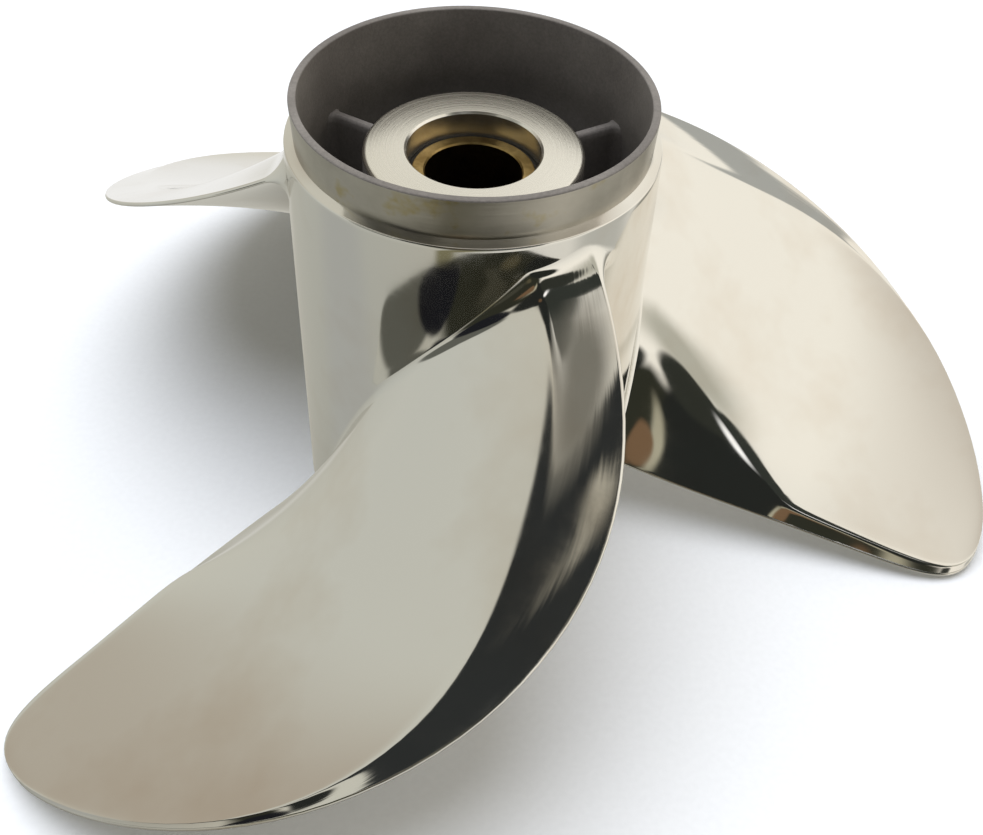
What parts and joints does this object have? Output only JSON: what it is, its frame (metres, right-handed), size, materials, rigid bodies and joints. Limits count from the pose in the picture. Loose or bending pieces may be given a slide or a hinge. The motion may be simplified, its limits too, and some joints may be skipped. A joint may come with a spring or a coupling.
{
  "type": "three-blade through-hub boat propeller",
  "caption": "Right-handed stainless steel boat propeller with skewed blades on a hollow exhaust barrel, a ribbed inner hub and a rubber-bushed brass sleeve.",
  "frame": {"origin": "the propeller's centre of mass, on the shaft axis", "axes": "+Z along the shaft axis towards the forward end, which is up as the propeller stands on the rear rim of its barrel; blade_1's root lies on the -Y side"},
  "size_m": [0.3111, 0.3364, 0.145],
  "materials": {
    "polished_steel": "hand-polished stainless steel casting, satin-bright",
    "turned_steel": "lathe-turned stainless steel with fine circular tool marks",
    "cast_steel": "as-cast stainless steel, dark and matt",
    "rubber": "black moulded rubber",
    "brass": "machined brass, slightly dulled"
  },
  "bodies": {
    "root": {"outer_barrel": "polished_steel", "blade_1": "polished_steel", "blade_2": "polished_steel", "blade_3": "polished_steel", "inner_hub": "turned_steel", "exhaust_rib_1": "cast_steel", "exhaust_rib_2": "cast_steel", "exhaust_rib_3": "cast_steel", "rubber_bushing": "rubber", "splined_sleeve": "brass"}
  },
  "joints": []
}
